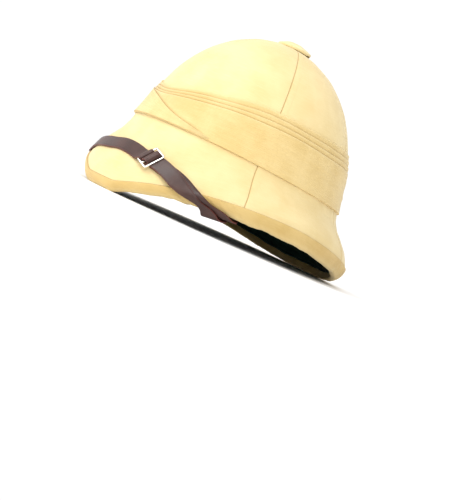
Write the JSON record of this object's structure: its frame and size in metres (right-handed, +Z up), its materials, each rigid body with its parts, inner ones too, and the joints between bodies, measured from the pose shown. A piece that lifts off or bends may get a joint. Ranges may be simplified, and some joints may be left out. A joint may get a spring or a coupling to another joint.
{
  "type": "pith helmet",
  "caption": "Rigid sun helmet: cloth-covered domed crown with sloping brim, pleated wound cloth band, low vent cap, green lining and leather chin strap worn up over the peak.",
  "frame": {"origin": "bottom centre of the bounding box, on the floor that the front peak and the rear brim rest on", "axes": "+Z up, -Y to the front peak, +Y to the rear brim, +X to the wearer's left"},
  "size_m": [0.274, 0.3444, 0.2205],
  "materials": {
    "khaki_cloth": "plain-woven khaki cotton drill, matt",
    "khaki_binding": "khaki cotton pulled over the edge, slightly puckered",
    "khaki_wrap": "ribbed khaki cotton wound and pleated",
    "green_lining": "dark green cotton",
    "brown_leather": "dark brown strap leather, worn sheen",
    "steel": "plain nickelled steel"
  },
  "bodies": {
    "root": {"helmet_shell": "khaki_cloth", "brim_binding": "khaki_binding", "lining": "green_lining", "pugaree_band": "khaki_wrap", "pugaree_pleat_1": "khaki_wrap", "pugaree_pleat_2": "khaki_wrap", "pugaree_pleat_3": "khaki_wrap", "pugaree_front_fold": "khaki_wrap", "vent_cap": "khaki_cloth", "vent_collar": "steel", "chin_strap": "brown_leather", "strap_slide": "steel", "strap_loop_left": "steel", "strap_loop_right": "steel"}
  },
  "joints": []
}
